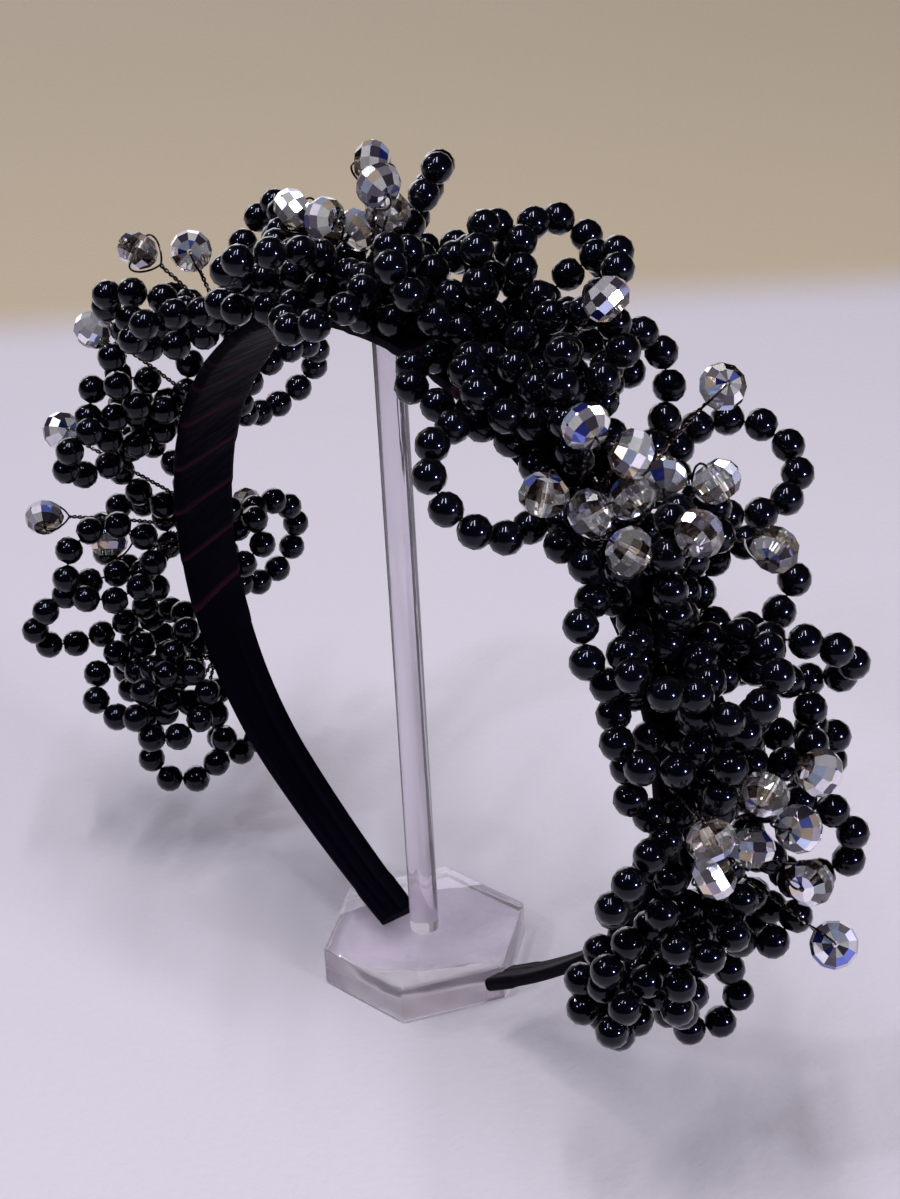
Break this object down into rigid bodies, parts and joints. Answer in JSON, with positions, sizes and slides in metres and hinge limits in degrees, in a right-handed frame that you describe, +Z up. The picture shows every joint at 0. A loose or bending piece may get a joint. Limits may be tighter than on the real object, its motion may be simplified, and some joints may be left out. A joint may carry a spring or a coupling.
{
  "type": "rhinestone headband on a clear acrylic stand",
  "caption": "Satin-wound headband with wired flowers of black pearl loops and faceted crystals on wire stems, standing on a clear acrylic rod and hexagon base.",
  "frame": {"origin": "centre of the stand base's underside, on the rod's axis", "axes": "+Z up along the rod, +X towards the leg of the band that bears more flowers, +Y towards the band's back edge"},
  "size_m": [0.2072, 0.0775, 0.1763],
  "materials": {
    "acrylic": "clear, polished",
    "satin": "black satin ribbon with a wine tint",
    "pearl": "glossy blue-black pearl",
    "crystal": "faceted, half silvered"
  },
  "bodies": {
    "root": {"stand_base": "acrylic", "stand_rod": "acrylic", "headband": "satin", "flower_a": "pearl", "flower_b": "pearl", "flower_c": "pearl", "flower_d": "pearl", "flower_e": "pearl", "flower_f": "pearl", "flower_g": "pearl", "flower_h": "pearl", "flower_i": "pearl", "flower_j": "pearl", "crystal_01": "crystal", "crystal_02": "crystal", "crystal_03": "crystal", "crystal_04": "crystal", "crystal_05": "crystal", "crystal_06": "crystal", "crystal_07": "crystal", "crystal_08": "crystal", "crystal_09": "crystal", "crystal_10": "crystal", "crystal_11": "crystal", "crystal_12": "crystal", "crystal_13": "crystal", "crystal_14": "crystal", "crystal_15": "crystal", "crystal_16": "crystal", "crystal_17": "crystal", "crystal_18": "crystal", "crystal_19": "crystal", "crystal_20": "crystal", "crystal_21": "crystal", "crystal_22": "crystal", "crystal_23": "crystal", "crystal_24": "crystal", "crystal_25": "crystal", "crystal_26": "crystal", "crystal_27": "crystal", "crystal_28": "crystal", "crystal_29": "crystal", "crystal_30": "crystal", "crystal_31": "crystal", "crystal_32": "crystal", "crystal_33": "crystal"}
  },
  "joints": []
}
